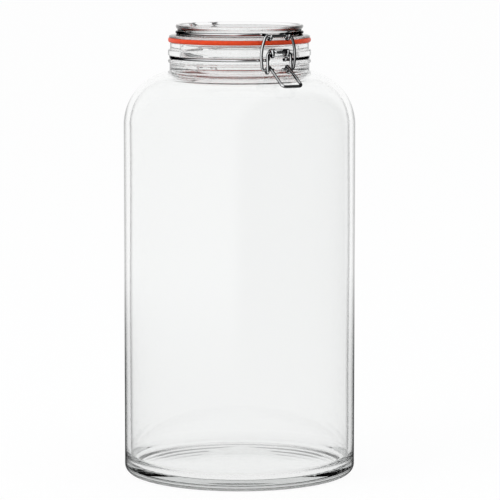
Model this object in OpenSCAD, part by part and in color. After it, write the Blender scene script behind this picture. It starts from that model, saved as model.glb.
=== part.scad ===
// Clip-top glass storage jar, millimetres, +Z up.
// The origin is the centre of the circle on which the jar stands.
// The clip is at the front (-Y) and the lid's hinge at the back (+Y).

/* [Jar] */
// Outer diameter of the body
jar_d = 165; // [155:1:180]
// Height of the jar to the top of its rim, without the lid
jar_h = 309.3; // [270:0.1:340]
// Thickness of the side wall
wall = 4; // [3:0.5:5]
// Thickness of the floor where it meets the wall
floor_t = 7; // [5:0.5:10]
// Outer radius between the side and the base
heel_r = 6; // [4:0.5:8]
// Outer radius of the shoulder
shoulder_r = 39; // [34:0.5:42]

/* [Mouth] */
// Glass between the mouth and the face of the band at the rim
band_wall = 8.3; // [6:0.1:12]
// Inner diameter of the mouth
mouth_d = 85; // [80:0.5:86]
// Height of the rim above the mouth band
rim_h = 5.4; // [4.4:0.2:7]
// Height of the mouth band
band_h = 4.4; // [3.4:0.2:6]
// Height of the rounded bead under the wire groove
bead_h = 3.4; // [2.4:0.2:5]
// Height of the plain neck between the bead and the shoulder
neck_len = 5.4; // [4:0.2:9]

/* [Lid] */
// Thickness of the lid's flange at its edge
flange_t = 2.25; // [1.75:0.25:3.5]
// Height of the lid's cap above the wire
cap_h = 4.2; // [3.6:0.2:6]
// Depth of the plug that enters the mouth, below the flange
plug_h = 5.85; // [4.65:0.2:7.05]
// Glass left in the middle of the lid
lid_web = 5.4; // [4:0.2:6]

/* [Rubber ring] */
// Thickness of the rubber ring
gasket_t = 2.85; // [2.25:0.1:3.45]

/* [Wire] */
// Diameter of all the wires
wire_d = 2.1; // [1.8:0.1:2.4]
// Radial play of a wire turning in an eye
eye_play = 0.08; // [0.04:0.01:0.1]

/* [Clip] */
// Distance of each neck eye from the middle of the clip
eye_off = 6.6; // [6.2:0.1:7]
// Height of the lever's axle above the neck wire
axle_rise = 4.9; // [4.5:0.1:5.3]
// Drop from the lever's axle to the bail's pivot
pivot_drop = 11.3; // [10.7:0.1:12]
// How far across the shoulder the handle's bar lies, as a share of the shoulder's width
handle_share = 0.718; // [0.62:0.01:0.8]
// Width of the handle's bar
handle_w = 15.6; // [13:0.2:17]
// Clear space for a fingertip between the handle's bar and the shoulder
finger_gap = 5.2; // [4:0.2:7]
// Width of the bail's top bar
bail_top_w = 20.8; // [20.4:0.2:22]
// Width of the bail where it is widest
bail_w = 28.4; // [27:0.2:30]

/* [Hidden] */
$fn = 64;

// Colours
glass = [0.86, 0.93, 0.92, 0.4];
steel = [0.78, 0.79, 0.81];
rubber = [0.86, 0.27, 0.1];

// Steps along the arcs of an outline, as counts
fine_steps = 14;
small_steps = 5;
// Sides of a round wire, and steps in a full turn of a bend and of a ring
wire_sides = 20;
bend_steps = 24;
ring_steps = 48;

// Jar: outline radii
jar_r = jar_d / 2;
mouth_r = mouth_d / 2;
band_r = mouth_r + band_wall;
// The neck and the rim are set in from the band
neck_step = 1.1;
rim_step = 1.5;
neck_r = band_r - neck_step;
rim_r = band_r - rim_step;
// Play of a wire in its groove, and how far the wire lies inside the band
groove_play = 0.05;
wire_inset = 0.9;
wire_r = wire_d / 2;
groove_r = band_r - wire_d - wire_inset;
groove_h = wire_d + 2 * groove_play;
// Rounding of the band's and rim's corners
band_edge = 0.8;
rim_edge = 1.2;
lip_edge = 1;

// Jar: heights
band_top = jar_h - rim_h;
band_bot = band_top - band_h;
groove_z = band_bot - groove_h / 2;
bead_top = band_bot - groove_h;
bead_bot = bead_top - bead_h;
neck_bot = bead_bot - neck_len;

// Jar: the shoulder's arc starts where the neck meets it
arc_r0 = jar_r - shoulder_r;
shoulder_rise = sqrt(shoulder_r * shoulder_r - (neck_r - arc_r0) * (neck_r - arc_r0));
shoulder_z = neck_bot - shoulder_rise;
root_angle = acos((neck_r - arc_r0) / shoulder_r);
// Inside, the same centre and a radius less by the wall
inner_r = shoulder_r - wall;
// The inner arc runs up to where it meets the thicker neck
neck_flare = 3.2;
inner_top_r = mouth_r + neck_flare;
inner_angle = acos((inner_top_r - arc_r0) / inner_r);
neck_flare_h = 6;

// Jar: base, with a shallow push-up inside the standing ring
stand_w = 6.5;
pushup_h = 2.6;
stand_in_r = jar_r - heel_r - stand_w;
inner_heel_r = 10;
bowl_r = jar_r - wall;
floor_crown = 1.6;

// Rubber ring, between the rim and the lid's flange
gasket_step = 0.1;
gasket_r = band_r - gasket_step;
gasket_edge = 0.5;
gasket_play = 0.3;

// Lid: radii and heights
flange_step = 0.6;
flange_r = band_r - flange_step;
ledge_w = 6.8;
waist_r = flange_r - ledge_w;
cap_over = 1.9;
cap_r = waist_r + cap_over;
plug_play = 1.5;
plug_r = mouth_r - plug_play;
plug_taper = 1.5;
plug_wall = 4;
lid_z = jar_h + gasket_t;
flange_top = lid_z + flange_t;
flange_crown = 0.5;
flange_edge = 0.9;
waist_z = flange_top + flange_crown;
waist_h = wire_d + 2 * groove_play;
cap_z = waist_z + waist_h;
lid_top = cap_z + cap_h;
cap_flare_h = 1.6;
cap_edge = 0.8;
cap_rim_w = 3;
dish_d = 1.9;
dish_slope = 1.6;
lid_under = lid_top - dish_d - lid_web;
plug_fillet = 2;

// Wire rings in their grooves
neck_ring_r = groove_r + groove_play + wire_r;
lid_ring_r = waist_r + groove_play + wire_r;
lid_ring_z = waist_z + waist_h / 2;
// Wire is a hair fatter at bends and eyes, as a share of its diameter
swell_share = 1.03;
bend_d = wire_d * swell_share;
// Radius of an eye's middle line, and the usual bend
eye_r = wire_r + eye_play + bend_d / 2;
bend_share = 1.05;
bend_r = wire_d * bend_share;
// How far a straight run reaches into a bend
lap = 0.2;
// A stem that stops in an eye's side, as a share of the wire
stem_share = 0.96;

// Hinge at the back: the neck wire's eyes round the lid wire's bar
hinge_out = 5.7;
hinge_y = band_r + hinge_out;
hinge_z = groove_z + eye_r;
hinge_eye_off = 6;
hinge_bar_off = 9.8;
// Angle above the level from which the back leg meets its eye
hinge_lean = 40;

// Clip: the axle of the lever, in the neck wire's front eyes
eye_gap = 1;
axle_y = -(band_r + eye_gap + wire_r + eye_r);
axle_z = groove_z + axle_rise;
axle_pos = [axle_y, axle_z];
// The axle's ends stick out inside the eyes
axle_tail = 1;
// The lever's arms run just outside the eyes
arm_gap = 0.7;
arm_off = eye_off + wire_d + arm_gap;
// Clear of an eye, a bend begins
bend_clear = 0.15;
arm_bend = arm_off - eye_off - wire_r - bend_clear;
foot_bend = 1.2;
// The bail's pivot lies a little nearer the glass than the axle
pivot_in = 1.6;
pivot_y = axle_y + pivot_in;
pivot_z = axle_z - pivot_drop;
pivot_pos = [pivot_y, pivot_z];
// The handle's bar keeps its gap to the shoulder
handle_y = -neck_r - (jar_r - neck_r) * handle_share;
handle_z = shoulder_at(-handle_y) + finger_gap + wire_r;
handle_bend = 2.6;

// Bail: its bar hangs in the lid wire's hooks
bar_in = 0.85;
bar_y = axle_y + bar_in;
bar_above = 0.6;
bar_z = lid_ring_z - bar_above;
bail_bend = 2;
bail_foot_off = 12.5;
bail_foot_bend = bail_foot_off - arm_off - wire_r - bend_clear;
bail_mid_share = 0.52;
bail_side_bend = 30;
bail_pin_in = 3.2;

// Hooks: an arc round the bar, entered and left on straight legs
hook_off = 7.2;
hook_play = 0.34;
hook_r = wire_d + hook_play;
hook_down = 50;
hook_up = 62;
hook_top_bend = 1.7;
hook_tip = 2.6;

// Height of the shoulder's outer face at a distance from the axis
function shoulder_at(r) = shoulder_z
    + sqrt(shoulder_r * shoulder_r - (r - arc_r0) * (r - arc_r0));

// Points on an arc in the plane of an outline
function arc(cx, cz, r, from, to, n) =
    [for (i = [0:n]) let (a = from + (to - from) * i / n) [cx + r * cos(a), cz + r * sin(a)]];

function unit(v) = v / norm(v);
function angle_between(a, b) = 2 * atan2(norm(unit(a) - unit(b)), norm(unit(a) + unit(b)));

// Angle off the leg's side at which a ring ends, where a bend turns it into a leg at x = off
function ring_end(off, ring_r) = asin((off + bend_r) / (ring_r + bend_r));

// Distance from the X axis of the corner between that ring's tangent and the leg
function ring_corner(off, ring_r) =
    let (a = ring_end(off, ring_r), s = (ring_r * sin(a) - off) / cos(a))
    ring_r * cos(a) + s * sin(a);

// Angle that a lap takes on an arc
function lap_angle(r) = 2 * asin(lap / (2 * r));

// Turns what stands on +Z to stand on point p along direction v
module stand(p, v) {
    translate(p) rotate([0, acos(v[2] / norm(v)), atan2(v[1], v[0])]) children();
}

// One straight run of round wire of diameter d
module run(a, b, d) {
    stand(a, b - a) cylinder(d = d, h = norm(b - a), $fn = wire_sides);
}

// Part of a ring of wire round the Z axis, from the X axis on over the given angle
module arc_of_wire(r, angle, d, steps) {
    rotate_extrude(angle = angle, $fn = steps) translate([r, 0]) circle(d = d, $fn = wire_sides);
}

// One bend of middle radius r at corner p, between directions u and v; wire swells a hair there
module bend(p, u, v, r) {
    t = angle_between(u, v);
    start = p - u * r * tan(t / 2);
    c = p + unit(v - u) * r / cos(t / 2);
    x = unit(start - c);
    z = unit(cross(x, u));
    multmatrix([[x[0], u[0], z[0], c[0]], [x[1], u[1], z[1], c[1]], [x[2], u[2], z[2], c[2]]])
        arc_of_wire(r, t, bend_d, bend_steps);
}

// A wire bent at each inner point, with a radius for each bend; each end is "free", or starts
// at once with a bend from a "ring", or stops in the side of an "eye"
module bent_wire(pts, radii, ends) {
    last = len(pts) - 1;
    dirs = [for (i = [0:last - 1]) unit(pts[i + 1] - pts[i])];
    cut = [for (i = [0:last]) i == 0 || i == last ? 0
        : radii[i - 1] * tan(angle_between(dirs[i - 1], dirs[i]) / 2) - lap];
    first_run = ends[0] == "ring" ? 1 : 0;
    last_run = ends[1] == "ring" ? last - 2 : last - 1;
    for (i = [first_run:last_run])
        run(pts[i] + dirs[i] * cut[i], pts[i + 1] - dirs[i] * cut[i + 1],
            (i == 0 && ends[0] == "eye") || (i == last - 1 && ends[1] == "eye")
            ? wire_d * stem_share : wire_d);
    for (i = [1:last - 1]) bend(pts[i], dirs[i - 1], dirs[i], radii[i - 1]);
}

// Half of a wire ring at height z, from angle front off -Y to angle back off +Y
module half_ring(ring_r, z, front, back, side) {
    more = lap_angle(ring_r);
    mirror([side < 0 ? 1 : 0, 0, 0])
        translate([0, 0, z]) rotate([0, 0, -90 + front - more])
            arc_of_wire(ring_r, 180 - front - back + 2 * more, wire_d, ring_steps);
}

// A closed eye round an axle that runs along X
module eye(off, y, z) {
    translate([off, y, z]) rotate([0, 90, 0])
        arc_of_wire(eye_r, 360, bend_d, bend_steps);
}

module jar_body() {
    outer = concat(
        [for (i = [0:small_steps]) let (s = i / small_steps) [s * stand_in_r, pushup_h * (1 - s * s)]],
        arc(jar_r - heel_r, heel_r, heel_r, -90, 0, small_steps + small_steps),
        arc(arc_r0, shoulder_z, shoulder_r, 0, root_angle, fine_steps),
        arc(band_r - bead_h / 2, bead_bot + bead_h / 2, bead_h / 2, -90, 90, small_steps + small_steps),
        [[groove_r, bead_top], [groove_r, band_bot]],
        arc(band_r - band_edge, band_bot + band_edge, band_edge, -90, 0, small_steps),
        arc(band_r - band_edge, band_top - band_edge, band_edge, 0, 90, small_steps),
        [[rim_r, band_top]],
        arc(rim_r - rim_edge, jar_h - rim_edge, rim_edge, 0, 90, small_steps));
    inner = concat(
        arc(mouth_r + lip_edge, jar_h - lip_edge, lip_edge, 90, 180, small_steps),
        [[mouth_r, neck_bot + neck_flare_h]],
        arc(arc_r0, shoulder_z, inner_r, inner_angle, 0, fine_steps),
        arc(bowl_r - inner_heel_r, floor_t + inner_heel_r, inner_heel_r, 0, -90, small_steps + small_steps),
        [for (i = [small_steps - 1:-1:0]) let (s = i / small_steps)
            [s * (bowl_r - inner_heel_r), floor_t + floor_crown * (1 - s * s)]]);
    color(glass) rotate_extrude() polygon(concat(outer, inner));
}

module lid() {
    color(glass) rotate_extrude() polygon(concat(
        [[0, lid_under]],
        arc(plug_r - plug_taper - plug_wall - plug_fillet, lid_under - plug_fillet, plug_fillet,
            90, 0, small_steps),
        [[plug_r - plug_taper - plug_wall, lid_z - plug_h],
         [plug_r - plug_taper, lid_z - plug_h],
         [plug_r, lid_z - plug_h / 2],
         [plug_r, lid_z]],
        arc(flange_r - flange_edge, lid_z + flange_edge, flange_edge, -90, 0, small_steps),
        arc(flange_r - flange_edge, flange_top - flange_edge, flange_edge, 0, 80, small_steps),
        [[waist_r, waist_z], [waist_r, cap_z], [cap_r, cap_z + cap_flare_h]],
        arc(cap_r - cap_edge, lid_top - cap_edge, cap_edge, 0, 90, small_steps),
        arc(cap_r - cap_rim_w + cap_edge, lid_top - cap_edge, cap_edge, 90, 160, small_steps),
        [[cap_r - cap_rim_w - dish_slope, lid_top - dish_d], [0, lid_top - dish_d]]));
}

module gasket() {
    gasket_in = plug_r + gasket_play;
    color(rubber) rotate_extrude() polygon(concat(
        arc(gasket_r - gasket_edge, jar_h + gasket_edge, gasket_edge, -90, 0, small_steps),
        arc(gasket_r - gasket_edge, lid_z - gasket_edge, gasket_edge, 0, 90, small_steps),
        arc(gasket_in + gasket_edge, lid_z - gasket_edge, gasket_edge, 90, 180, small_steps),
        arc(gasket_in + gasket_edge, jar_h + gasket_edge, gasket_edge, 180, 270, small_steps)));
}

// The hook's outline from the lid wire's ring: out over the flange, round the bar and up
module lid_hook(side) {
    // Where the falling leg leaves the bar's circle, and the corner under the bar
    fall = [cos(hook_down), -sin(hook_down)];
    leave = [-bar_y, bar_z] + hook_r * [-sin(hook_down), -cos(hook_down)];
    top_out = leave[0] - (lid_ring_z - leave[1]) / tan(hook_down);
    corner = leave + fall * hook_r * tan((hook_down + hook_up) / 2);
    rise = [cos(hook_up), sin(hook_up)];
    tip = corner + rise * (hook_r * tan((hook_down + hook_up) / 2) + hook_tip);
    a = ring_end(hook_off, lid_ring_r);
    bent_wire([
        [side * lid_ring_r * sin(a), -lid_ring_r * cos(a), lid_ring_z],
        [side * hook_off, -ring_corner(hook_off, lid_ring_r), lid_ring_z],
        [side * hook_off, -top_out, lid_ring_z],
        [side * hook_off, -corner[0], corner[1]],
        [side * hook_off, -tip[0], tip[1]]],
        [bend_r, hook_top_bend, hook_r], ["ring", "free"]);
}

// The hinge end of the lid wire: over the flange, down, across as the hinge's bar and back
module lid_hinge() {
    a = ring_end(hinge_bar_off, lid_ring_r);
    start = [lid_ring_r * sin(a), lid_ring_r * cos(a), lid_ring_z];
    corner_y = ring_corner(hinge_bar_off, lid_ring_r);
    bent_wire([
        start,
        [hinge_bar_off, corner_y, lid_ring_z],
        [hinge_bar_off, hinge_y, lid_ring_z],
        [hinge_bar_off, hinge_y, hinge_z],
        [-hinge_bar_off, hinge_y, hinge_z],
        [-hinge_bar_off, hinge_y, lid_ring_z],
        [-hinge_bar_off, corner_y, lid_ring_z],
        [-start[0], start[1], start[2]]],
        [bend_r, bend_r, bend_r, bend_r, bend_r, bend_r], ["ring", "ring"]);
}

module lid_wire() {
    front = ring_end(hook_off, lid_ring_r);
    back = ring_end(hinge_bar_off, lid_ring_r);
    color(steel) {
        for (side = [-1, 1]) {
            half_ring(lid_ring_r, lid_ring_z, front, back, side);
            lid_hook(side);
        }
        lid_hinge();
    }
}

module neck_wire() {
    front = ring_end(eye_off, neck_ring_r);
    back = ring_end(hinge_eye_off, neck_ring_r);
    color(steel) {
        for (side = [-1, 1]) {
            half_ring(neck_ring_r, groove_z, front, back, side);
            // Front leg: out of the groove and up to the axle's eye
            bent_wire([
                [side * neck_ring_r * sin(front), -neck_ring_r * cos(front), groove_z],
                [side * eye_off, -ring_corner(eye_off, neck_ring_r), groove_z],
                [side * eye_off, axle_y, groove_z],
                [side * eye_off, axle_y, axle_z - eye_r]],
                [bend_r, foot_bend], ["ring", "eye"]);
            // Back leg: out of the groove to the side of the hinge eye
            bent_wire([
                [side * neck_ring_r * sin(back), neck_ring_r * cos(back), groove_z],
                [side * hinge_eye_off, ring_corner(hinge_eye_off, neck_ring_r), groove_z],
                [side * hinge_eye_off, hinge_y - eye_r * cos(hinge_lean), hinge_z - eye_r * sin(hinge_lean)]],
                [bend_r], ["ring", "eye"]);
            eye(side * eye_off, axle_y, axle_z);
            eye(side * hinge_eye_off, hinge_y, hinge_z);
        }
        // The span that joins the two front eyes
        run([-eye_off, axle_y - eye_r, axle_z], [eye_off, axle_y - eye_r, axle_z], wire_d * stem_share);
    }
}

// The lever: two stub axles, arms, eyes for the bail and a handle
module closing_lever() {
    grip_dir = unit([handle_y, handle_z] - pivot_pos);
    arm_dir = unit(axle_pos - pivot_pos);
    arm_end = pivot_pos + eye_r * arm_dir;
    grip_start = pivot_pos + eye_r * grip_dir;
    color(steel) {
        for (side = [-1, 1]) {
            bent_wire([
                [side * (eye_off - wire_r - axle_tail), axle_y, axle_z],
                [side * arm_off, axle_y, axle_z],
                [side * arm_off, arm_end[0], arm_end[1]]],
                [arm_bend], ["free", "eye"]);
            eye(side * arm_off, pivot_y, pivot_z);
        }
        bent_wire([
            [-arm_off, grip_start[0], grip_start[1]],
            [-handle_w / 2, handle_y, handle_z],
            [handle_w / 2, handle_y, handle_z],
            [arm_off, grip_start[0], grip_start[1]]],
            [handle_bend, handle_bend], ["eye", "eye"]);
    }
}

module pull_bail() {
    mid_y = pivot_y + (bar_y - pivot_y) * bail_mid_share;
    mid_z = pivot_z + (bar_z - pivot_z) * bail_mid_share;
    color(steel)
        bent_wire([
            [-bail_pin_in, pivot_y, pivot_z],
            [-bail_foot_off, pivot_y, pivot_z],
            [-bail_w / 2, mid_y, mid_z],
            [-bail_top_w / 2, bar_y, bar_z],
            [bail_top_w / 2, bar_y, bar_z],
            [bail_w / 2, mid_y, mid_z],
            [bail_foot_off, pivot_y, pivot_z],
            [bail_pin_in, pivot_y, pivot_z]],
            [bail_foot_bend, bail_side_bend, bail_bend, bail_bend, bail_side_bend, bail_foot_bend],
            ["free", "free"]);
}

jar_body();
lid();
gasket();
lid_wire();
neck_wire();
closing_lever();
pull_bail();
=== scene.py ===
# %% [markdown]
# # A clip-top glass storage jar
# The real jar is a tall pressed-glass body, a glass lid, a rubber ring between them and four bent
# wires: one round the neck, one round the lid, a lever and a pull bail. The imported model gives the
# places and the joints. Here each piece gets its finished shape and its finish.

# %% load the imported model
from math import acos, asin, atan2, cos, pi, radians, sin, sqrt, tan

import bmesh
import bpy
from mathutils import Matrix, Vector


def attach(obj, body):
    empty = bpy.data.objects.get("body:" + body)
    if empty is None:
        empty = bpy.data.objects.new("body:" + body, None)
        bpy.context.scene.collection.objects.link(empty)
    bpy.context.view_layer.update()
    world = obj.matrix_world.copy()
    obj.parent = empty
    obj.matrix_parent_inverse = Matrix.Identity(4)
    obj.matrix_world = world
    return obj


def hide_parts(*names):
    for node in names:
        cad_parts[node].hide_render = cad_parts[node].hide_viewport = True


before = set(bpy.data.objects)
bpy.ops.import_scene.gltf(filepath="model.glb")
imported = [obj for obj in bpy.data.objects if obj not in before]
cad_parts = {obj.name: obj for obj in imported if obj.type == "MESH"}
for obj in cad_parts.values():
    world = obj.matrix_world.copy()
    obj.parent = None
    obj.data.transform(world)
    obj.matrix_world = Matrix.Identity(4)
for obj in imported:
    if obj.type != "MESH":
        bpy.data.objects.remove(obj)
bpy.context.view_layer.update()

# %% [markdown]
# ## The camera
# The camera comes first, because every later look is judged through it. It stands a little above
# the lid, thirty degrees to the left of the clip, and its long lens keeps the sides of the jar
# nearly parallel. The lens is shifted a little, because the jar isn't in the middle of the picture.

# %% camera
picture_px = 500
focal_px = 3026
sensor_mm = 36
lens_shift = 0.021
camera_away = 2.150
camera_height = 0.4215
camera_turn = radians(30)
camera_dip = 0.121
nearest, farthest = 0.05, 200


def add_object(name, data):
    piece = bpy.data.objects.new(name, data)
    bpy.context.collection.objects.link(piece)
    return piece


camera_data = bpy.data.cameras.new("studio_camera")
camera_data.sensor_width = sensor_mm
camera_data.lens = sensor_mm * focal_px / picture_px
camera_data.shift_x = lens_shift
camera_data.clip_start, camera_data.clip_end = nearest, farthest
camera = add_object("studio_camera", camera_data)
camera.location = (-camera_away * sin(camera_turn), -camera_away * cos(camera_turn), camera_height)
camera.rotation_euler = (pi / 2 - camera_dip, 0, -camera_turn)
bpy.context.scene.camera = camera
bpy.context.scene.view_settings.view_transform = "Standard"
print("lens", round(camera_data.lens, 1), "mm at", [round(v, 3) for v in camera.location])

# %% [markdown]
# ## The measures
# Every measure below is in millimetres, as a glassmaker would write it, and is the same as in the
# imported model. A piece that takes the place of a plain solid has to stay where that solid is. The
# place of a wire seen from the side is a pair: how far it is from the axis, and how high.

# %% measures of the glass
mm = 0.001
jar_r, jar_top = 82.5, 309.3
wall, floor_thick, heel_r, shoulder_r = 4.0, 7.0, 6.0, 39.0
band_r, rim_r, neck_r, mouth_r = 50.8, 49.3, 49.7, 42.5
rim_high, band_high, groove_high, bead_high, root_high = 5.4, 4.4, 2.2, 3.4, 5.4
band_top = jar_top - rim_high
band_low = band_top - band_high
groove_z = band_low - groove_high / 2
bead_top = band_low - groove_high
bead_low = bead_top - bead_high
neck_low = bead_low - root_high
groove_bottom_r = 47.8
shoulder_mid_r = jar_r - shoulder_r
shoulder_z = neck_low - sqrt(shoulder_r ** 2 - (neck_r - shoulder_mid_r) ** 2)
gasket_thick = 2.85
lid_low = jar_top + gasket_thick
waist_r = 43.4
print("shoulder begins at", round(shoulder_z, 2), "mm and the lid at", lid_low, "mm")

# %% measures of the wire
wire_r, bend_fatter = 1.05, 1.03
play, ring_air = 0.08, 0.05
axle_air, axle_up = 1, 4.9
pivot_in, pivot_down = 1.6, 11.3
bar_in, bar_down = 0.85, 0.6
handle_share, handle_air = 0.718, 5.2
hinge_out = 5.7
eye_r = wire_r + play + wire_r * bend_fatter
lid_ring_r, lid_ring_z = waist_r + ring_air + wire_r, 316.0
neck_ring_r = groove_bottom_r + ring_air + wire_r
axle = (band_r + axle_air + wire_r + eye_r, groove_z + axle_up)
pivot = (axle[0] - pivot_in, axle[1] - pivot_down)
bar = (axle[0] - bar_in, lid_ring_z - bar_down)
grip_out = neck_r + (jar_r - neck_r) * handle_share
shoulder_at_grip = shoulder_z + sqrt(shoulder_r ** 2 - (grip_out - shoulder_mid_r) ** 2)
grip = (grip_out, shoulder_at_grip + handle_air + wire_r)
hinge = (band_r + hinge_out, groove_z + eye_r)
for name, place in (("axle", axle), ("pivot", pivot), ("bar", bar), ("grip", grip),
                    ("hinge", hinge)):
    print(name, "is", round(place[0], 2), "mm out and", round(place[1], 2), "mm up")

# %% [markdown]
# ## Glass
# Clear glass is bright where one looks straight through it and dark along its outline, because
# there the light has gone a long way through the wall. Volume absorption gives that darkening by
# thickness, and Layer Weight paints shade into the glass colour along the thin outline. Level faces,
# such as the floor of the jar, are left out of that painted shade, or they would turn dark as soon
# as they are seen at a low angle. The upright side of the lid's cap gets more painted shade, chosen
# by its height on the object, for the dark edge of a thick pressed disc. A very faint noise in the
# normal keeps the surface from looking like a perfect mirror. Light is turned many times in thick
# glass, so it gets longer paths than usual, or the lid would show black spots.

# %% longer paths of light
for kind, most in (("max_bounces", 24), ("glossy_bounces", 16), ("transmission_bounces", 24)):
    setattr(bpy.context.scene.cycles, kind, most)
print("light may be turned", bpy.context.scene.cycles.max_bounces, "times")


# %% helpers that add a node
def feed(tree, node, inputs):
    """Links an input where another node's output is given for it, and sets a plain value."""
    for key, value in inputs.items():
        if isinstance(value, bpy.types.NodeSocket):
            tree.links.new(value, node.inputs[key])
        else:
            node.inputs[key].default_value = value
    return node


def put(tree, kind, inputs=(), **settings):
    node = tree.nodes.new(kind)
    for setting, value in settings.items():
        setattr(node, setting, value)
    return feed(tree, node, dict(inputs))


def maths(tree, operation, *values, clamp=False):
    node = put(tree, "ShaderNodeMath", enumerate(values), operation=operation, use_clamp=clamp)
    return node.outputs[0]


def spread(tree, value, low, high, start=0.0, end=1.0, curve="LINEAR"):
    """Maps start to end onto low to high."""
    limits = {"From Min": start, "From Max": end, "To Min": low, "To Max": high}
    node = put(tree, "ShaderNodeMapRange", {"Value": value, **limits}, interpolation_type=curve)
    return node.outputs["Result"]


# %% helpers that start a finish and vary it
def new_finish(name):
    finish = bpy.data.materials.new(name)
    finish.use_nodes = True
    tree = finish.node_tree
    tree.nodes.clear()
    surface = put(tree, "ShaderNodeBsdfPrincipled")
    output = put(tree, "ShaderNodeOutputMaterial", {"Surface": surface.outputs[0]})
    return finish, tree, surface, output, put(tree, "ShaderNodeTexCoord").outputs


def noise_from(tree, place, scale, detail, stretch=(1, 1, 1)):
    mapping = put(tree, "ShaderNodeMapping", {"Scale": stretch, "Vector": place["Object"]})
    noise = put(tree, "ShaderNodeTexNoise",
                {"Scale": scale, "Detail": detail, "Vector": mapping.outputs["Vector"]})
    return noise.outputs["Fac"]


def two_tones(tree, value, low, low_colour, high, high_colour):
    ramp = put(tree, "ShaderNodeValToRGB", {"Fac": value})
    stops = ramp.color_ramp.elements
    for stop, position, colour in ((stops[0], low, low_colour), (stops[1], high, high_colour)):
        stop.position = position
        stop.color = (*colour, 1)
    return ramp.outputs["Color"]


def bump_of(tree, height, strength, distance):
    bump = put(tree, "ShaderNodeBump",
               {"Strength": strength, "Distance": distance, "Height": height})
    return bump.outputs["Normal"]


def how_sideways(tree):
    """Nought where a face looks at the viewer, one along the outline."""
    return put(tree, "ShaderNodeLayerWeight", {"Blend": 0.5}).outputs["Facing"]


# %% glass finish
# the second colour is painted shade for the glass outline
clear_glass, painted_outline_shade = (0.972, 0.976, 0.974), (0.02, 0.022, 0.022)
glass_absorbs = (0.47, 0.49, 0.485, 1)
upright_tilt, level_tilt, level_share = 0.25, 0.75, 0.82
# the last number on the next line is the extra painted shade on the lid cap's upright side
side_tilt, side_end_tilt, painted_cap_shade = 0.60, 0.72, 0.30
above_the_jar, cap_side_low = 1.0, 0.3172


def glass_finish(name, density, clear_to, dark_at, side_low=above_the_jar):
    """Glass with painted shade in its colour along the outline, and more on upright faces above
    side_low, in metres.
    """
    finish, tree, surface, output, place = new_finish(name)
    normal = put(tree, "ShaderNodeSeparateXYZ", {0: place["Normal"]})
    spot = put(tree, "ShaderNodeSeparateXYZ", {0: place["Object"]})
    tilt = maths(tree, "ABSOLUTE", normal.outputs["Z"])
    flat = spread(tree, tilt, 1.0, level_share, upright_tilt, level_tilt)
    # painted shade: Layer Weight darkens the glass colour along the outline, less on level faces
    edge = maths(tree, "MULTIPLY", how_sideways(tree), flat)
    # more painted shade on the upright side of the lid's cap, above side_low
    above = maths(tree, "GREATER_THAN", spot.outputs["Z"], side_low)
    side = spread(tree, tilt, painted_cap_shade, 0.0, side_tilt, side_end_tilt)
    edge = maths(tree, "MULTIPLY_ADD", above, side, edge)
    polish = noise_from(tree, place, scale=180, detail=2)
    ripple = noise_from(tree, place, scale=28, detail=1, stretch=(1, 1, 0.35))
    absorb = put(tree, "ShaderNodeVolumeAbsorption", {"Color": glass_absorbs, "Density": density})
    feed(tree, output, {"Volume": absorb.outputs[0]})
    feed(tree, surface, {
        "Base Color": two_tones(tree, edge, clear_to, clear_glass, dark_at, painted_outline_shade),
        "IOR": 1.5, "Transmission Weight": 1.0, "Roughness": spread(tree, polish, 0.0, 0.012),
        "Normal": bump_of(tree, ripple, strength=0.05, distance=0.0006)})
    return finish


body_glass = glass_finish("body_glass", density=5.0, clear_to=0.76, dark_at=0.86)
lid_glass = glass_finish("lid_glass", density=3.0, clear_to=0.50, dark_at=0.72,
                         side_low=cap_side_low)
print("glass finishes:", body_glass.name, lid_glass.name)

# %% [markdown]
# ## Rubber and wire
# The ring is natural rubber, an orange red that is a little translucent, with a satin face and a
# fine speckle. The wire is plated steel: a metal whose faint draw marks and small colour changes
# stop it from looking like a mirror. Layer Weight paints shade into its colour along the outline,
# which draws its round form.

# %% rubber finish
deep_rubber, pale_rubber = (0.60, 0.042, 0.005), (0.74, 0.060, 0.008)
rubber, tree, surface, _, place = new_finish("seal_rubber")
speckle = noise_from(tree, place, scale=420, detail=4)
satin = noise_from(tree, place, scale=700, detail=2)
pores = noise_from(tree, place, scale=900, detail=3)
feed(tree, surface, {
    "Base Color": two_tones(tree, speckle, 0.30, deep_rubber, 0.70, pale_rubber),
    "Roughness": spread(tree, satin, 0.36, 0.56), "Specular IOR Level": 0.3,
    "Subsurface Weight": 0.12, "Subsurface Radius": (0.004, 0.0012, 0.0006),
    "Subsurface Scale": 0.3, "Normal": bump_of(tree, pores, strength=0.25, distance=0.0001)})
print("rubber finish:", rubber.name)

# %% wire finish
# the last colour is painted shade for the wire's outline
grey_plate, pale_plate, painted_rim_shade = (0.82, 0.83, 0.84), (0.93, 0.935, 0.94), (0.03, 0.03, 0.032)
bright_wire, tree, surface, _, place = new_finish("bright_wire")
changes = noise_from(tree, place, scale=160, detail=4)
drawing = noise_from(tree, place, scale=520, detail=3)
scratches = noise_from(tree, place, scale=2600, detail=2)
# painted shade: Layer Weight darkens the plating colour towards black along the wire's outline
plating_with_painted_shade = put(tree, "ShaderNodeMix", {
    "Factor": 1.0, "A": two_tones(tree, changes, 0.35, grey_plate, 0.72, pale_plate),
    "B": two_tones(tree, how_sideways(tree), 0.14, (1, 1, 1), 0.42, painted_rim_shade)},
    data_type="RGBA", blend_type="MULTIPLY")
feed(tree, surface, {
    "Base Color": plating_with_painted_shade.outputs["Result"], "Metallic": 1.0,
    "Specular Tint": (0.25, 0.25, 0.26, 1), "Roughness": spread(tree, drawing, 0.05, 0.14),
    "Normal": bump_of(tree, scratches, strength=0.12, distance=0.00005)})
print("wire finish:", bright_wire.name)

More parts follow.
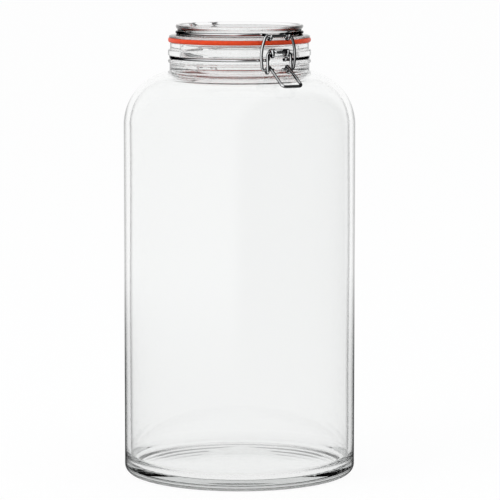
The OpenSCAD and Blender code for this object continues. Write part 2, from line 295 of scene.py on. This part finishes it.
# %% [markdown]
# ## Turning an outline
# The body, the lid and the ring are round, so each is one outline carried round the axis. Geometry
# Nodes do that as a lathe does: the outline is the profile of a Curve to Mesh whose path is a
# circle. Both ends of a closed body's outline lie on the axis, and Merge by Distance closes them.

# %% helpers that make an outline of arcs
path_r = 0.04


def arc(mid_r, mid_z, r, start, end, steps):
    turns = [radians(start + (end - start) * i / steps) for i in range(steps + 1)]
    return [(mid_r + r * cos(a), mid_z + r * sin(a)) for a in turns]


def outline_object(name, points, closed):
    """The outline as a row of edges; x is the distance from the path and y points down."""
    rows = [(r * mm - path_r, -z * mm, 0) for r, z in points]
    edges = [(i, i + 1) for i in range(len(rows) - 1)] + ([(len(rows) - 1, 0)] if closed else [])
    mesh = bpy.data.meshes.new(name)
    mesh.from_pydata(rows, edges, [])
    return add_object(name, mesh)


print("path of the lathe:", path_r, "m")


# %% helpers that start and end a node tree
def new_tree(name, sizes):
    """A tree with a Geometry input and output, and one named input for each size."""
    tree = bpy.data.node_groups.new(name, "GeometryNodeTree")
    tree.interface.new_socket("Geometry", in_out="INPUT", socket_type="NodeSocketGeometry")
    for label, kind, value in sizes:
        socket = tree.interface.new_socket(label, in_out="INPUT", socket_type=kind)
        socket.default_value = value
    tree.interface.new_socket("Geometry", in_out="OUTPUT", socket_type="NodeSocketGeometry")
    return tree, put(tree, "NodeGroupInput").outputs, put(tree, "NodeGroupOutput")


def end_tree(tree, geometry, last, finish):
    real = put(tree, "GeometryNodeRealizeInstances", {0: geometry})
    smooth = put(tree, "GeometryNodeSetShadeSmooth", {0: real.outputs[0]})
    dress = put(tree, "GeometryNodeSetMaterial",
                {"Geometry": smooth.outputs[0], "Material": finish})
    feed(tree, last, {"Geometry": dress.outputs[0]})


# %% a helper that runs a tree
def made_by(piece, tree, finish, **values):
    """Runs the tree on the piece and keeps its result as a plain mesh with outward faces."""
    modifier = piece.modifiers.new(tree.name, "NODES")
    modifier.node_group = tree
    for socket in tree.interface.items_tree:
        size = socket.name.replace(" ", "_").lower()
        if socket.in_out == "INPUT" and size in values:
            modifier[socket.identifier] = values[size]
    bpy.context.view_layer.update()
    ready = piece.evaluated_get(bpy.context.evaluated_depsgraph_get())
    mesh = bpy.data.meshes.new_from_object(ready)
    piece.modifiers.remove(modifier)
    piece.data = mesh
    mesh.name = piece.name
    shape = bmesh.new()
    shape.from_mesh(mesh)
    bmesh.ops.recalc_face_normals(shape, faces=shape.faces)
    open_edges = sum(1 for edge in shape.edges if len(edge.link_faces) != 2)
    volume = shape.calc_volume(signed=True) / mm ** 3
    shape.to_mesh(mesh)
    shape.free()
    mesh.materials.clear()
    mesh.materials.append(finish)
    print(piece.name, "faces", len(mesh.polygons), "open edges", open_edges,
          "volume", round(volume), "mm3")
    return piece


# %% the lathe
same_point = 1e-6


def lathe_tree(finish):
    tree, first, last = new_tree("lathe", [("Segments", "NodeSocketInt", 192),
                                           ("Path Radius", "NodeSocketFloat", path_r)])
    profile = put(tree, "GeometryNodeMeshToCurve", {"Mesh": first["Geometry"]})
    circle = put(tree, "GeometryNodeCurvePrimitiveCircle",
                 {"Resolution": first["Segments"], "Radius": first["Path Radius"]})
    sweep = put(tree, "GeometryNodeCurveToMesh",
                {"Curve": circle.outputs["Curve"], "Profile Curve": profile.outputs["Curve"]})
    close = put(tree, "GeometryNodeMergeByDistance",
                {"Geometry": sweep.outputs["Mesh"], "Distance": same_point})
    end_tree(tree, close.outputs["Geometry"], last, finish)
    return tree


def turned(name, points, finish, segments, closed=False):
    piece = outline_object(name, points, closed)
    return made_by(piece, lathe_tree(finish), finish, segments=segments, path_radius=path_r)


# %% [markdown]
# ## The jar body
# The body has a shallow push-up under it, a round heel, a straight side, a broad shoulder and a
# short neck. Round the neck run a bead, the groove that holds the neck wire, a band and the rim.
# Every corner of pressed glass is rounded, so the outline has an arc at each.

# %% outer line of the body
side_steps = 60
push_up, stand_wide = 2.6, 6.5
bead_round, groove_round, band_round, rim_root, rim_round = 1.7, 0.5, 0.8, 0.4, 1.2
floor_shares = [i / 12 for i in range(13)]
stand_in_r = jar_r - heel_r - stand_wide
root_angle = acos((neck_r - shoulder_mid_r) / shoulder_r) * 180 / pi


def straight(r0, z0, r1, z1, steps):
    """The points of a straight line, without its two ends."""
    return [(r0 + (r1 - r0) * i / steps, z0 + (z1 - z0) * i / steps) for i in range(1, steps)]


outer_line = (
    [(stand_in_r * s, push_up * (1 - s ** 2)) for s in floor_shares]
    + arc(jar_r - heel_r, heel_r, heel_r, -90, 0, 16)
    + straight(jar_r, heel_r, jar_r, shoulder_z, side_steps)
    + arc(shoulder_mid_r, shoulder_z, shoulder_r, 0, root_angle, 48)
    + [(neck_r, neck_low + 0.6), (neck_r, bead_low - 0.2)]
    + arc(band_r - bead_round, bead_low + bead_round, bead_round, -70, 82, 12)
    + arc(groove_bottom_r + groove_round, bead_top + groove_round, groove_round, 260, 180, 4)
    + arc(groove_bottom_r + groove_round, band_low - groove_round, groove_round, 180, 100, 4)
    + arc(band_r - band_round, band_low + band_round, band_round, -84, 0, 6)
    + arc(band_r - band_round, band_top - band_round, band_round, 0, 84, 6)
    + arc(rim_r + rim_root, band_top + 0.5, rim_root, 262, 180, 4)
    + arc(rim_r - rim_round, jar_top - rim_round, rim_round, 0, 90, 8))
print("points outside:", len(outer_line))

# %% inner line of the body
mouth_round, throat_round, inner_heel = 1.0, 9.0, 10.0
throat_z, throat_out, throat_turn = neck_low + 7.2, 3.2, 4
floor_crown = 1.6
inner_shoulder_r, inner_side_r = shoulder_r - wall, jar_r - wall
inner_angle = acos((mouth_r + throat_out - shoulder_mid_r) / inner_shoulder_r) * 180 / pi
inner_line = (
    arc(mouth_r + mouth_round, jar_top - mouth_round, mouth_round, 90, 180, 8)
    + straight(mouth_r, jar_top - mouth_round, mouth_r, neck_low + 8, 6)
    + arc(mouth_r + throat_round, throat_z, throat_round, 180, 214, 8)
    + arc(shoulder_mid_r, shoulder_z, inner_shoulder_r, inner_angle - throat_turn, 0, 44)
    + straight(inner_side_r, shoulder_z, inner_side_r, floor_thick + inner_heel, side_steps)
    + arc(inner_side_r - inner_heel, floor_thick + inner_heel, inner_heel, 0, -90, 18)
    + [((inner_side_r - inner_heel) * s, floor_thick + floor_crown * (1 - s ** 2))
       for s in reversed(floor_shares[:-1])])
print("points inside:", len(inner_line))

# %% the body, with the faint waves of its inner wall
wave_low, wave_high, wave_fade = 22, shoulder_z + 26, 40
wave_in_r, wave_out_r = 60, inner_side_r + 0.6
broad_wave, fine_wave = 0.05, 0.02
glass_body = turned("glass_body", outer_line + inner_line, body_glass, segments=224)
for vertex in glass_body.data.vertices:
    x, y, z = vertex.co / mm
    around, high = atan2(y, x), z / jar_top
    away = sqrt(x * x + y * y)
    if wave_in_r < away < wave_out_r and wave_low < z < wave_high:
        fade = min(1, (z - wave_low) / wave_fade) * min(1, (wave_high - z) / wave_fade)
        wave = broad_wave * sin(3 * around + 5 * high) + fine_wave * sin(7 * around - 11 * high)
        vertex.co.x *= 1 + fade * wave / away
        vertex.co.y *= 1 + fade * wave / away
print("glass_body box:", [round(v / mm, 2) for v in glass_body.dimensions])

# %% [markdown]
# ## The lid
# The lid is a thick glass disc with a flange that presses on the rubber, a waist that holds the lid
# wire, a flat cap with a raised edge and a hollow plug that reaches into the mouth. The flange's
# top falls away outwards, so it is a quarter of a flat ellipse.

# %% measures of the lid
cap_r, flange_r = 45.3, 50.2
flange_thick, waist_high, cap_high, dish_deep, plate_thick = 2.25, 2.2, 4.2, 1.9, 5.4
flange_round, waist_round, cap_round = 0.9, 0.4, 0.8
plug_r, hollow_r, plug_deep = 41.0, 35.5, 5.25
hollow_round, foot_round, plug_root = 2, 0.6, 0.5
foot_in_r, foot_out_r = 36.1, 38.9
flange_top = lid_low + flange_thick
waist_low, waist_top = flange_top + 0.5, flange_top + 0.5 + waist_high
lid_top = waist_top + cap_high
dish_r, dish_z = cap_r - 5.3, lid_top - dish_deep
hollow_top = dish_z - plate_thick
slope_out, slope_up = 4.6, flange_top - lid_low - flange_round
slope_turns = [radians(84 * i / 14) for i in range(15)]
print("waist from", round(waist_low, 2), "to", round(waist_top, 2), "mm, top at", round(lid_top, 2))

# %% outline of the lid
lid_line = (
    [(0, hollow_top)] + straight(0, hollow_top, hollow_r - hollow_round, hollow_top, 6)
    + arc(hollow_r - hollow_round, hollow_top - hollow_round, hollow_round, 90, 0, 8)
    + [(hollow_r, lid_low - 5.0)]
    + arc(foot_in_r, lid_low - plug_deep, foot_round, 180, 270, 4)
    + arc(foot_out_r, lid_low - plug_deep, foot_round, 270, 350, 4)
    + [(plug_r, lid_low - 2.9), (plug_r, lid_low - plug_root)]
    + arc(plug_r + plug_root, lid_low - plug_root, plug_root, 180, 90, 4)
    + arc(flange_r - flange_round, lid_low + flange_round, flange_round, -90, 0, 8)
    + [(flange_r - slope_out * (1 - cos(a)), lid_low + flange_round + slope_up * sin(a))
       for a in slope_turns]
    + arc(waist_r + waist_round, waist_low + waist_round, waist_round, 250, 180, 4)
    + arc(waist_r + waist_round, waist_top - waist_round, waist_round, 180, 120, 4)
    + arc(cap_r - cap_round, lid_top - 1.5, cap_round, -30, 0, 3)
    + arc(cap_r - cap_round, lid_top - cap_round, cap_round, 0, 90, 8)
    + arc(cap_r - 2.2, lid_top - cap_round, cap_round, 90, 150, 6)
    + arc(dish_r, lid_top - 1.1, cap_round, 320, 270, 6)
    + straight(dish_r, dish_z, 0, dish_z, 8) + [(0, dish_z)])
glass_lid = turned("glass_lid", lid_line, lid_glass, segments=192)
print("glass_lid box:", [round(v / mm, 2) for v in glass_lid.dimensions])

# %% [markdown]
# ## The rubber ring
# The ring is flat, with shallow grooves moulded into its outer edge. The lid presses it, so it
# bulges between the flange and the rim, and a short lip hangs over the rim's rounded edge. A hair
# of air above and below it keeps the rubber and the glass from sharing a face, which would flicker.

# %% outline of the ring
ring_in, ring_out, ring_round = 41.3, 50.7, 0.5
hair, lip_air = 0.03, 0.14
ring_top, ring_under = lid_low - hair, jar_top + hair
lip_low = jar_top - 0.5
edge_steps, bulge_deep, groove_deep = 32, 0.62, 0.07
edge_line = []
for step in range(edge_steps + 1):
    s = step / edge_steps
    bulge = -bulge_deep * abs(2 * s - 1) ** 3 - groove_deep * (0.5 + 0.5 * cos(8 * pi * s))
    edge_line.append((ring_out + bulge, lip_low + 0.25 + s * (ring_top - lip_low - 0.3)))
ring_line = (
    edge_line + [(ring_out - 1.4, ring_top)]
    + arc(ring_in + ring_round, ring_top - ring_round, ring_round, 90, 180, 4)
    + arc(ring_in + ring_round, ring_under + ring_round, ring_round, 180, 270, 4)
    + [(rim_r - 1.3, ring_under)]
    + arc(rim_r - rim_round, jar_top - rim_round, rim_round + lip_air, 78, 38, 5)
    + [(rim_r + 0.05, lip_low + hair), (rim_r + 0.35, lip_low)])
rubber_ring = turned("rubber_ring", ring_line, rubber, segments=160, closed=True)
print("rubber_ring box:", [round(v / mm, 2) for v in rubber_ring.dimensions])

# %% [markdown]
# ## Bending wire
# A bent wire is a path with rounded corners and a round section. The helpers below make the path
# as a wire bender would, from corners and bend radii, and give an eye as a real coil round its
# axle. Geometry Nodes then run the round section along the path, a little thinner at a cut end.


# %% helpers for bends and coils
def rounded(corners, radii, steps=10):
    """A path through the corners, each inner corner rounded with its radius."""
    corners = [Vector(c) for c in corners]
    path = [corners[0]]
    for before, corner, after, r in zip(corners, corners[1:], corners[2:], radii):
        u, v = (corner - before).normalized(), (after - corner).normalized()
        turn = u.angle(v)
        start = corner - u * r * tan(turn / 2)
        middle = corner + (v - u).normalized() * r / cos(turn / 2)
        side = (start - middle).normalized()
        path += [middle + side * r * cos(turn * i / steps) + u * r * sin(turn * i / steps)
                 for i in range(steps + 1)]
    return path + [corners[-1]]


def coil(middle, start, end, x0, x1, front):
    """Turns of wire round an axle along X, from angle start to end; front looks along -Y."""
    steps = max(8, int(abs(end - start) / 12))
    path = []
    for i in range(steps + 1):
        a = radians(start + (end - start) * i / steps)
        out = middle[0] + eye_r * cos(a)
        x = x0 + (x1 - x0) * i / steps
        path.append(Vector((x, -out if front else out, middle[1] + eye_r * sin(a))))
    return path


def at_front(x, place):
    """A corner of the path on the clip's side, from its place seen from the side."""
    return (x, -place[0], place[1])


def mirrored(path):
    return [Vector((-p.x, p.y, p.z)) for p in reversed(path)]


# %% helpers for a ring and the legs that leave it
def half_ring(r, z, front, back, steps=56):
    """Half of a ring, from angle front off the clip to angle back off the hinge."""
    turns = [front + (pi - back - front) * i / steps for i in range(steps + 1)]
    return [Vector((r * sin(a), -r * cos(a), z)) for a in turns]


def leave_angle(off, r, bend):
    """Where a leg at x = off leaves a ring of radius r with the given bend."""
    return asin((off + bend) / (r + bend))


def leave_corner(off, r, bend):
    """How far from the axis the corner of that bend is."""
    a = leave_angle(off, r, bend)
    return r * cos(a) + (r * sin(a) - off) / cos(a) * sin(a)


# %% the tree that gives a path its round section
tip_width, tip_back = [0.28, 0.78, 1.0], [0.0, 0.22, 0.6]
shortest_step = 0.12


def wire_tree(finish):
    tree, first, last = new_tree("round_wire", [("Wire Radius", "NodeSocketFloat", wire_r * mm),
                                                ("Sides", "NodeSocketInt", 20)])
    path = put(tree, "GeometryNodeMeshToCurve", {"Mesh": first["Geometry"]})
    section = put(tree, "GeometryNodeCurvePrimitiveCircle",
                  {"Radius": first["Wire Radius"], "Resolution": first["Sides"]})
    thin = put(tree, "GeometryNodeInputNamedAttribute", {"Name": "thickness"}, data_type="FLOAT")
    sweep = put(tree, "GeometryNodeCurveToMesh", {
        "Curve": path.outputs["Curve"], "Profile Curve": section.outputs["Curve"],
        "Scale": thin.outputs["Attribute"], "Fill Caps": True})
    end_tree(tree, sweep.outputs["Mesh"], last, finish)
    return tree


def tipped(points):
    """Puts the points of a rounded end in place of the first one."""
    along = (points[0] - points[1]).normalized()
    return [points[0] - along * back for back in tip_back] + points[1:]


def wire_piece(name, path):
    """Cuts away steps that are too short, adds the rounded ends and runs the tree."""
    points = [path[0]]
    for p in path[1:]:
        if (p - points[-1]).length > shortest_step:
            points.append(p)
    points = tipped(tipped(points)[::-1])[::-1]
    thickness = tip_width + [1.0] * (len(points) - 2 * len(tip_width)) + tip_width[::-1]
    mesh = bpy.data.meshes.new(name)
    mesh.from_pydata([p * mm for p in points], [(i, i + 1) for i in range(len(points) - 1)], [])
    mesh.attributes.new("thickness", "FLOAT", "POINT").data.foreach_set("value", thickness)
    length = sum((b - a).length for a, b in zip(points, points[1:]))
    print(name, "is", round(length), "mm of wire")
    return made_by(add_object(name, mesh), wire_tree(bright_wire), bright_wire,
                   wire_radius=wire_r * mm, sides=20)


# %% [markdown]
# ## The lid wire
# One wire makes the hooks in front, the ring round the lid's waist and the bar of the hinge behind.
# Each hook goes down over the flange, round under the bail's bar and up to a short tip.

# %% the lid wire
bend, hook_r, hook_top_bend = 2.205, 2.44, 1.7
hook_off, legs_off, tip_long = 7.2, 9.8, 2.6
hook_down, hook_up = radians(50), radians(62)
leave = (bar[0] - hook_r * sin(hook_down), bar[1] - hook_r * cos(hook_down))
lean = hook_r * tan((hook_down + hook_up) / 2)
under_bar = (leave[0] + cos(hook_down) * lean, leave[1] - sin(hook_down) * lean)
tip = (under_bar[0] + cos(hook_up) * (lean + tip_long),
       under_bar[1] + sin(hook_up) * (lean + tip_long))
hook_top = (leave[0] - (lid_ring_z - leave[1]) / tan(hook_down), lid_ring_z)
hook_corner = (leave_corner(hook_off, lid_ring_r, bend), lid_ring_z)
ring = half_ring(lid_ring_r, lid_ring_z, leave_angle(hook_off, lid_ring_r, bend),
                 leave_angle(legs_off, lid_ring_r, bend))
hook = rounded([at_front(hook_off, place) for place in (tip, under_bar, hook_top, hook_corner)]
               + [ring[0]], [hook_r, hook_top_bend, bend])
hinge_bar = rounded([
    ring[-1], (legs_off, leave_corner(legs_off, lid_ring_r, bend), lid_ring_z),
    (legs_off, hinge[0], lid_ring_z), (legs_off, *hinge), (0, *hinge)], [bend] * 3)
right_half = hook + ring[1:-1] + hinge_bar
lid_hoop = wire_piece("lid_hoop", right_half + mirrored(right_half)[1:])

# %% [markdown]
# ## The neck wire
# One wire lies in the groove. In front its two legs wind into coils for the lever's axle and are
# joined by a short span, and behind its ends wind round the bar of the hinge.

# %% the neck wire's coils
leg_off, back_off, leg_bend, span_bend = 7.15, 6.7, 1.6, 1.9
turn_pitch, axle_turn, hinge_turn = 2.16, 480, 435
axle_coil = coil(axle, 180, 180 - axle_turn, leg_off,
                 leg_off - turn_pitch * axle_turn / 360, front=True)
hinge_coil = coil(hinge, -90, hinge_turn - 90, back_off,
                  back_off - turn_pitch * hinge_turn / 360, front=False)
last_a = radians(180 - axle_turn)
corner = axle_coil[-1] + Vector((0, -sin(last_a), -cos(last_a))) * span_bend
span = rounded([axle_coil[-1], corner, (0, corner.y, corner.z)], [span_bend])
print("coils have", round(axle_turn / 360, 2), "and", round(hinge_turn / 360, 2), "turns")

# %% the neck wire
ring = half_ring(neck_ring_r, groove_z, leave_angle(leg_off, neck_ring_r, bend),
                 leave_angle(back_off, neck_ring_r, bend))
inner_side = axle[0] - eye_r
leg = rounded([ring[0], at_front(leg_off, (leave_corner(leg_off, neck_ring_r, bend), groove_z)),
               at_front(leg_off, (inner_side, groove_z)),
               at_front(leg_off, (inner_side, axle[1]))], [bend, leg_bend])
back_leg = rounded([ring[-1], (back_off, leave_corner(back_off, neck_ring_r, bend), groove_z),
                    (back_off, hinge[0], groove_z)], [bend])
right_half = (span[::-1] + axle_coil[::-1][1:] + leg[::-1][1:] + ring[1:-1] + back_leg
              + hinge_coil[1:])
neck_hoop = wire_piece("neck_hoop", mirrored(right_half) + right_half[1:])

# %% [markdown]
# ## The lever
# The lever's stubs turn in the neck wire's coils. Its arms go down to a coil on each side, which
# holds the bail, and then out to the handle over the shoulder.

# %% the lever
arm_off, stub_in, handle_half, coil_wide = 9.4, 3.5, 7.8, 2.2
arm_bend, handle_bend = 1.65, 2.6
toward = Vector((grip[0] - pivot[0], grip[1] - pivot[1]))
leave_turn = atan2(toward.x, -toward.y) * 180 / pi
slack = asin(eye_r / toward.length) * 180 / pi
coil_out = leave_turn - 360 - slack
lever_coil = coil(pivot, 0, coil_out, arm_off, arm_off - coil_wide, front=True)
arm = rounded([at_front(stub_in, axle), at_front(arm_off, axle), lever_coil[0]], [arm_bend])
handle = rounded([lever_coil[-1], at_front(handle_half, grip), at_front(0, grip)],
                 [handle_bend], steps=14)
right_half = arm + lever_coil[1:] + handle[1:]
lever = wire_piece("lever", right_half + mirrored(right_half)[1:])
print("coil leaves at", round(coil_out, 1), "degrees; handle starts at",
      [round(v, 2) for v in handle[0]])

# %% [markdown]
# ## The pull bail
# The bail's short pins turn in the lever's coils, its sides bow outwards past the clip, and its
# straight top bar hangs in the lid wire's hooks.

# %% the bail
foot_off, bow_half, top_half, pin_in, bow_share = 12.5, 14.2, 10.4, 3.2, 0.52
foot_bend, bow_bend, top_bend = foot_off - arm_off - wire_r - 0.15, 30, 2
bow = (pivot[0] + (bar[0] - pivot[0]) * bow_share, pivot[1] + (bar[1] - pivot[1]) * bow_share)
right_half = rounded([
    at_front(pin_in, pivot), at_front(foot_off, pivot), at_front(bow_half, bow),
    at_front(top_half, bar), at_front(0, bar)], [foot_bend, bow_bend, top_bend])
bail = wire_piece("bail", right_half + mirrored(right_half)[1:])

# %% [markdown]
# ## The marks under the heel
# The ring on which such a jar stands is pressed with a row of small raised marks, so that scratches
# don't weaken the glass. They all have one shape and lie on a circle, so Geometry Nodes set one
# small mark on each point of a circle, turn it to face outwards and vary its size a little.

# %% the tree of the marks
mark_lean = radians(32)
smallest, largest = (0.75, 0.85, 1.7), (1.05, 1.15, 2.3)
tree, first, last = new_tree("heel_marks", [
    ("Marks", "NodeSocketInt", 200), ("Circle Radius", "NodeSocketFloat", 0.08),
    ("Height", "NodeSocketFloat", 0.001), ("Mark Size", "NodeSocketFloat", 0.0006),
    ("Seed", "NodeSocketInt", 7)])
circle = put(tree, "GeometryNodeMeshCircle",
             {"Vertices": first["Marks"], "Radius": first["Circle Radius"]})
lift_by = put(tree, "ShaderNodeCombineXYZ", {"Z": first["Height"]})
lift = put(tree, "GeometryNodeTransform",
           {"Geometry": circle.outputs["Mesh"], "Translation": lift_by.outputs[0]})
ball = put(tree, "GeometryNodeMeshUVSphere",
           {"Segments": 8, "Rings": 6, "Radius": first["Mark Size"]})
share = maths(tree, "DIVIDE", put(tree, "GeometryNodeInputIndex").outputs[0], first["Marks"])
face_out = put(tree, "ShaderNodeCombineXYZ",
               {"Y": mark_lean, "Z": maths(tree, "MULTIPLY", share, 2 * pi)})
vary = put(tree, "FunctionNodeRandomValue",
           {0: smallest, 1: largest, "Seed": first["Seed"]}, data_type="FLOAT_VECTOR")
plant = put(tree, "GeometryNodeInstanceOnPoints", {
    "Points": lift.outputs[0], "Instance": ball.outputs["Mesh"],
    "Rotation": face_out.outputs[0], "Scale": vary.outputs[0]})
end_tree(tree, plant.outputs["Instances"], last, body_glass)
print("inputs of the marks:", list(first.keys())[:-1])

# %% the marks
mark_holder = add_object("heel_marks", bpy.data.meshes.new("heel_marks"))
heel_marks = made_by(mark_holder, tree, body_glass, marks=208, circle_radius=79.55 * mm,
                     height=1.2 * mm, mark_size=0.42 * mm, seed=7)

# %% [markdown]
# ## Floor, light and the white surroundings
# The jar stands on a plain white floor that reaches to the horizon. The camera and the glass see
# floor and surroundings as white, through Light Path, while a small share of the floor stays an
# ordinary white surface that keeps the jar's shadow. A photographer stands a black card beside a
# shiny object to draw its form. Here one stands in front on the right, and only mirror rays see it:
# a ray that has passed through glass counts as both glossy and transmitted, so Is Transmission Ray
# is subtracted from Is Glossy Ray.

# %% the black card, and who sees it
card_light, floor_light = 0.0, 0.95
card_turn = radians(65)
bright_side = (-sin(card_turn - camera_turn), cos(card_turn - camera_turn), 0)
dark_from, bright_from = -0.55, -0.25


def beside_the_card(tree, heading, most):
    """As dark as the card in its direction, and as bright as most away from it."""
    toward = put(tree, "ShaderNodeVectorMath", {0: heading, 1: bright_side},
                 operation="DOT_PRODUCT")
    return spread(tree, toward.outputs["Value"], card_light, most, dark_from, bright_from,
                  "SMOOTHSTEP")


def rays_of(tree):
    """The rays that see white, and of these the ones that come from a mirror alone."""
    rays = put(tree, "ShaderNodeLightPath").outputs
    glossy, passed = rays["Is Glossy Ray"], rays["Is Transmission Ray"]
    seen = maths(tree, "MAXIMUM", maths(tree, "MAXIMUM", rays["Is Camera Ray"], glossy), passed)
    return seen, maths(tree, "SUBTRACT", glossy, passed, clamp=True)


print("mirror rays are bright towards", [round(v, 2) for v in bright_side], "and dark opposite")

# %% floor
floor_r, floor_low, floor_white = 30, -0.0001, 0.93
card_near, card_far = 0.35, 1.3
floor_mesh = bpy.data.meshes.new("studio_floor")
shape = bmesh.new()
bmesh.ops.create_circle(shape, cap_ends=True, radius=floor_r, segments=96)
shape.to_mesh(floor_mesh)
shape.free()
studio_floor = add_object("studio_floor", floor_mesh)
studio_floor.location.z = floor_low
floor_paint = bpy.data.materials.new("studio_floor")
floor_paint.use_nodes = True
tree = floor_paint.node_tree
tree.nodes.clear()
place = put(tree, "ShaderNodeTexCoord").outputs["Object"]
away = put(tree, "ShaderNodeVectorMath", {0: place}, operation="LENGTH").outputs["Value"]
heading = put(tree, "ShaderNodeVectorMath", {0: place}, operation="NORMALIZE").outputs["Vector"]
far = spread(tree, away, card_light, floor_light, card_near, card_far, "SMOOTHSTEP")
seen, in_mirror = rays_of(tree)
strength = spread(tree, in_mirror, 1.0, beside_the_card(tree, heading, far))
paint = put(tree, "ShaderNodeBsdfDiffuse", {"Color": (0.95, 0.95, 0.95, 1)})
white = put(tree, "ShaderNodeEmission", {"Color": (1, 1, 1, 1), "Strength": strength})
mix = put(tree, "ShaderNodeMixShader", {
    "Fac": maths(tree, "MULTIPLY", seen, floor_white), 1: paint.outputs[0], 2: white.outputs[0]})
put(tree, "ShaderNodeOutputMaterial", {"Surface": mix.outputs[0]})
studio_floor.data.materials.append(floor_paint)
print("floor reaches", floor_r, "m")

# %% surroundings
room_tint, room_light = (0.97, 0.985, 1.0, 1), 0.85
world = bpy.data.worlds.new("studio")
bpy.context.scene.world = world
world.use_nodes = True
tree = world.node_tree
tree.nodes.clear()
place = put(tree, "ShaderNodeTexCoord").outputs["Generated"]
seen, in_mirror = rays_of(tree)
to_white = put(tree, "ShaderNodeMix", {
    "Factor": in_mirror, "A": (1, 1, 1, 1), "B": beside_the_card(tree, place, 1.0)},
    data_type="RGBA")
room = put(tree, "ShaderNodeBackground", {"Color": room_tint, "Strength": room_light})
backdrop = put(tree, "ShaderNodeBackground",
               {"Color": to_white.outputs["Result"], "Strength": 1.0})
mix = put(tree, "ShaderNodeMixShader", {"Fac": seen, 1: room.outputs[0], 2: backdrop.outputs[0]})
put(tree, "ShaderNodeOutputWorld", {"Surface": mix.outputs[0]})
print("surroundings have", len(tree.nodes), "nodes")

# %% lamps
lamp_aim = Vector((0, 0, 0.2))


def soft_lamp(name, place, size, watts):
    data = bpy.data.lights.new(name, "AREA")
    data.size = size
    data.energy = watts
    lamp = add_object(name, data)
    lamp.location = place
    lamp.visible_glossy = False
    lamp.visible_transmission = False
    lamp.rotation_euler = (lamp_aim - Vector(place)).to_track_quat("-Z", "Y").to_euler()
    print(name, "gives", watts, "W from", place)


soft_lamp("lamp_left", (-2.4, -0.3, 1.5), size=1.4, watts=26)
soft_lamp("lamp_right", (1.6, -2.2, 1.3), size=1.2, watts=9)

# %% [markdown]
# ## Which body each piece moves with
# The jar stands still, the lid carries its wire and the rubber ring, the lever turns in the neck
# wire and the bail turns in the lever. Each piece takes the place of its plain solid. The marks
# are a detail of the jar's glass and take the place of nothing.

# %% bodies, replaced solids and finishes
for piece, body, node, finish_slot in [
        (glass_body, "jar", "jar_body", "body_glass"),
        (glass_lid, "lid", "lid", "lid_glass"),
        (rubber_ring, "lid", "gasket", "seal_rubber"),
        (lid_hoop, "lid", "lid_wire", "bright_wire"),
        (neck_hoop, "jar", "neck_wire", "bright_wire"),
        (lever, "lever", "closing_lever", "bright_wire"),
        (bail, "bail", "pull_bail", "bright_wire")]:
    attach(piece, body)
    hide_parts(node)
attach(heel_marks, "jar")
